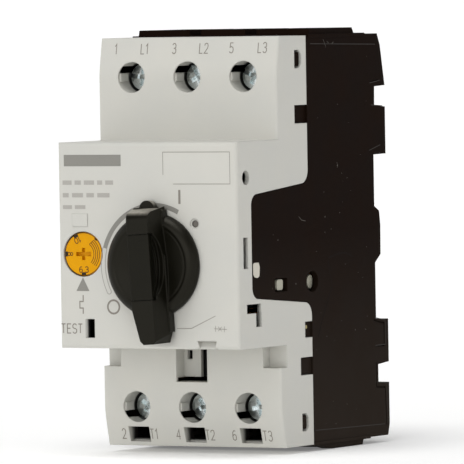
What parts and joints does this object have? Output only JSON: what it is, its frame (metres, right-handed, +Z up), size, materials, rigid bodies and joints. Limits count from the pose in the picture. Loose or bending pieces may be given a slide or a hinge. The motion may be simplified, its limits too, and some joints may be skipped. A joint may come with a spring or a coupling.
{
  "type": "motor protection breaker",
  "caption": "Three-pole motor protection breaker with rotary handle, overload setting dial, recessed screw terminals and a rail catch at the back.",
  "frame": {"origin": "on the centre line of the 35 mm rail, in the plane that the rail flanges bear on, mid-width", "axes": "+Z up along the poles, +Y towards the rail, -Y towards the operator, +X to the operator's right"},
  "size_m": [0.045, 0.0752, 0.093],
  "materials": {
    "base_plastic": "fine textured moulding",
    "cover_plastic": "fine textured moulding, light grey",
    "handle_plastic": "satin moulding",
    "dial_plastic": "smooth amber moulding",
    "lever_plastic": "natural moulding",
    "carrier_plastic": "glass-filled moulding",
    "zinc_steel": "bright zinc plating",
    "spring_steel": "drawn wire",
    "copper": "tinned copper",
    "silver_contact": "silver alloy",
    "magnet_steel": "soft iron",
    "enamelled_copper": "enamelled wire",
    "bobbin_plastic": "glass-filled moulding",
    "bimetal": "rolled bimetal"
  },
  "bodies": {
    "housing": {"base_housing": "base_plastic", "front_cover": "cover_plastic", "line_bars": "copper", "load_bars": "copper", "coil_feed_bars": "copper", "fixed_contact_tips": "silver_contact", "arc_splitter_plates": "magnet_steel", "magnet_yokes": "magnet_steel", "coil_bobbins": "bobbin_plastic", "trip_coils": "enamelled_copper", "magnet_cores": "magnet_steel", "bimetal_strips": "bimetal", "heater_windings": "bimetal", "mechanism_frame": "zinc_steel", "mechanism_pins": "zinc_steel"},
    "handle": {"handle_knob": "handle_plastic", "handle_shaft": "carrier_plastic"},
    "lock_insert": {"handle_lock_insert": "handle_plastic"},
    "dial": {"setting_dial": "dial_plastic", "dial_spindle": "dial_plastic"},
    "test": {"test_lever": "lever_plastic"},
    "signal": {"signal_slide": "lever_plastic"},
    "latch": {"latch_lever": "zinc_steel"},
    "kick": {"kick_lever": "zinc_steel"},
    "carrier": {"contact_carrier": "lever_plastic", "contact_bridges": "copper", "bridge_tips": "silver_contact", "bridge_springs": "spring_steel"},
    "thermal_slide": {"trip_slide": "carrier_plastic"},
    "trip_rocker": {"trip_shaft": "carrier_plastic"},
    "rail_catch": {"rail_latch": "base_plastic", "rail_latch_spring": "spring_steel"},
    "plunger_l1": {"plunger_l1": "magnet_steel", "plunger_spring_l1": "spring_steel"},
    "plunger_l2": {"plunger_l2": "magnet_steel", "plunger_spring_l2": "spring_steel"},
    "plunger_l3": {"plunger_l3": "magnet_steel", "plunger_spring_l3": "spring_steel"},
    "screw_l1": {"terminal_screw_l1": "zinc_steel"},
    "cage_l1": {"lift_cage_l1": "zinc_steel"},
    "screw_l2": {"terminal_screw_l2": "zinc_steel"},
    "cage_l2": {"lift_cage_l2": "zinc_steel"},
    "screw_l3": {"terminal_screw_l3": "zinc_steel"},
    "cage_l3": {"lift_cage_l3": "zinc_steel"},
    "screw_t1": {"terminal_screw_t1": "zinc_steel"},
    "cage_t1": {"lift_cage_t1": "zinc_steel"},
    "screw_t2": {"terminal_screw_t2": "zinc_steel"},
    "cage_t2": {"lift_cage_t2": "zinc_steel"},
    "screw_t3": {"terminal_screw_t3": "zinc_steel"},
    "cage_t3": {"lift_cage_t3": "zinc_steel"}
  },
  "joints": [
    {"name": "handle_turn", "type": "hinge", "parent": "housing", "child": "handle", "pos_m": [0.00165, -0.065, -0.0042], "axis": [0, -1, 0], "range_deg": [0, 90]},
    {"name": "lock_pull", "type": "slide", "parent": "handle", "child": "lock_insert", "axis": [0, -1, 0], "range_m": [0, 0.0035]},
    {"name": "dial_set", "type": "hinge", "parent": "housing", "child": "dial", "pos_m": [-0.0164, -0.062, -0.0019], "axis": [0, -1, 0], "range_deg": [0, 154]},
    {"name": "test_push", "type": "slide", "parent": "housing", "child": "test", "axis": [-1, 0, 0], "range_m": [0, 0.0012], "stiffness_N_per_m": 150, "springref_m": -0.0015},
    {"name": "signal_shift", "type": "slide", "parent": "housing", "child": "signal", "axis": [0, -1, 0], "range_m": [0, 0.0018], "stiffness_N_per_m": 100, "springref_m": -0.002},
    {"name": "latch_release", "type": "hinge", "parent": "housing", "child": "latch", "pos_m": [0.0076, -0.04, 0.0045], "axis": [1, 0, 0], "range_deg": [0, 6.5], "stiffness_Nm_per_rad": 0.01, "springref_deg": -17.19},
    {"name": "kick_swing", "type": "hinge", "parent": "housing", "child": "kick", "pos_m": [-0.006, -0.04, -0.0123], "axis": [-1, 0, 0], "range_deg": [0, 8], "stiffness_Nm_per_rad": 0.01, "springref_deg": -17.19},
    {"name": "carrier_lift", "type": "slide", "parent": "housing", "child": "carrier", "axis": [0, -1, 0], "range_m": [0, 0.0032]},
    {"name": "thermal_shift", "type": "slide", "parent": "housing", "child": "thermal_slide", "axis": [1, 0, 0], "range_m": [0, 0.0018], "stiffness_N_per_m": 80, "springref_m": -0.002},
    {"name": "rocker_tilt", "type": "hinge", "parent": "housing", "child": "trip_rocker", "pos_m": [0, -0.021, 0.0004], "axis": [1, 0, 0], "range_deg": [0, 9], "stiffness_Nm_per_rad": 0.02, "springref_deg": -17.19},
    {"name": "rail_catch_slide", "type": "slide", "parent": "housing", "child": "rail_catch", "axis": [0, 0, -1], "range_m": [0, 0.003], "stiffness_N_per_m": 1500, "springref_m": -0.004, "deforming": ["rail_latch_spring"]},
    {"name": "plunger_strike_l1", "type": "slide", "parent": "housing", "child": "plunger_l1", "axis": [0, 0, 1], "range_m": [0, 0.0019], "stiffness_N_per_m": 150, "springref_m": -0.002, "deforming": ["plunger_spring_l1"]},
    {"name": "plunger_strike_l2", "type": "slide", "parent": "housing", "child": "plunger_l2", "axis": [0, 0, 1], "range_m": [0, 0.0019], "stiffness_N_per_m": 150, "springref_m": -0.002, "deforming": ["plunger_spring_l2"]},
    {"name": "plunger_strike_l3", "type": "slide", "parent": "housing", "child": "plunger_l3", "axis": [0, 0, 1], "range_m": [0, 0.0019], "stiffness_N_per_m": 150, "springref_m": -0.002, "deforming": ["plunger_spring_l3"]},
    {"name": "screw_turn_l1", "type": "hinge", "parent": "housing", "child": "screw_l1", "pos_m": [-0.0141, -0.0375, 0.0363], "axis": [0, 1, 0], "range_deg": [0, 2520]},
    {"name": "cage_lift_l1", "type": "slide", "parent": "housing", "child": "cage_l1", "axis": [0, -1, 0], "range_m": [0, 0.0049]},
    {"name": "screw_turn_l2", "type": "hinge", "parent": "housing", "child": "screw_l2", "pos_m": [0, -0.0375, 0.0363], "axis": [0, 1, 0], "range_deg": [0, 2520]},
    {"name": "cage_lift_l2", "type": "slide", "parent": "housing", "child": "cage_l2", "axis": [0, -1, 0], "range_m": [0, 0.0049]},
    {"name": "screw_turn_l3", "type": "hinge", "parent": "housing", "child": "screw_l3", "pos_m": [0.0141, -0.0375, 0.0363], "axis": [0, 1, 0], "range_deg": [0, 2520]},
    {"name": "cage_lift_l3", "type": "slide", "parent": "housing", "child": "cage_l3", "axis": [0, -1, 0], "range_m": [0, 0.0049]},
    {"name": "screw_turn_t1", "type": "hinge", "parent": "housing", "child": "screw_t1", "pos_m": [-0.0141, -0.0375, -0.0363], "axis": [0, 1, 0], "range_deg": [0, 2520]},
    {"name": "cage_lift_t1", "type": "slide", "parent": "housing", "child": "cage_t1", "axis": [0, -1, 0], "range_m": [0, 0.0049]},
    {"name": "screw_turn_t2", "type": "hinge", "parent": "housing", "child": "screw_t2", "pos_m": [0, -0.0375, -0.0363], "axis": [0, 1, 0], "range_deg": [0, 2520]},
    {"name": "cage_lift_t2", "type": "slide", "parent": "housing", "child": "cage_t2", "axis": [0, -1, 0], "range_m": [0, 0.0049]},
    {"name": "screw_turn_t3", "type": "hinge", "parent": "housing", "child": "screw_t3", "pos_m": [0.0141, -0.0375, -0.0363], "axis": [0, 1, 0], "range_deg": [0, 2520]},
    {"name": "cage_lift_t3", "type": "slide", "parent": "housing", "child": "cage_t3", "axis": [0, -1, 0], "range_m": [0, 0.0049]}
  ],
  "couplings": [
    {"joint": "handle_turn", "follows": "carrier_lift", "rad_per_m": 490.85},
    {"joint": "screw_turn_l1", "follows": "cage_lift_l1", "rad_per_m": 8975.9},
    {"joint": "screw_turn_l2", "follows": "cage_lift_l2", "rad_per_m": 8975.9},
    {"joint": "screw_turn_l3", "follows": "cage_lift_l3", "rad_per_m": 8975.9},
    {"joint": "screw_turn_t1", "follows": "cage_lift_t1", "rad_per_m": 8975.9},
    {"joint": "screw_turn_t2", "follows": "cage_lift_t2", "rad_per_m": 8975.9},
    {"joint": "screw_turn_t3", "follows": "cage_lift_t3", "rad_per_m": 8975.9}
  ]
}
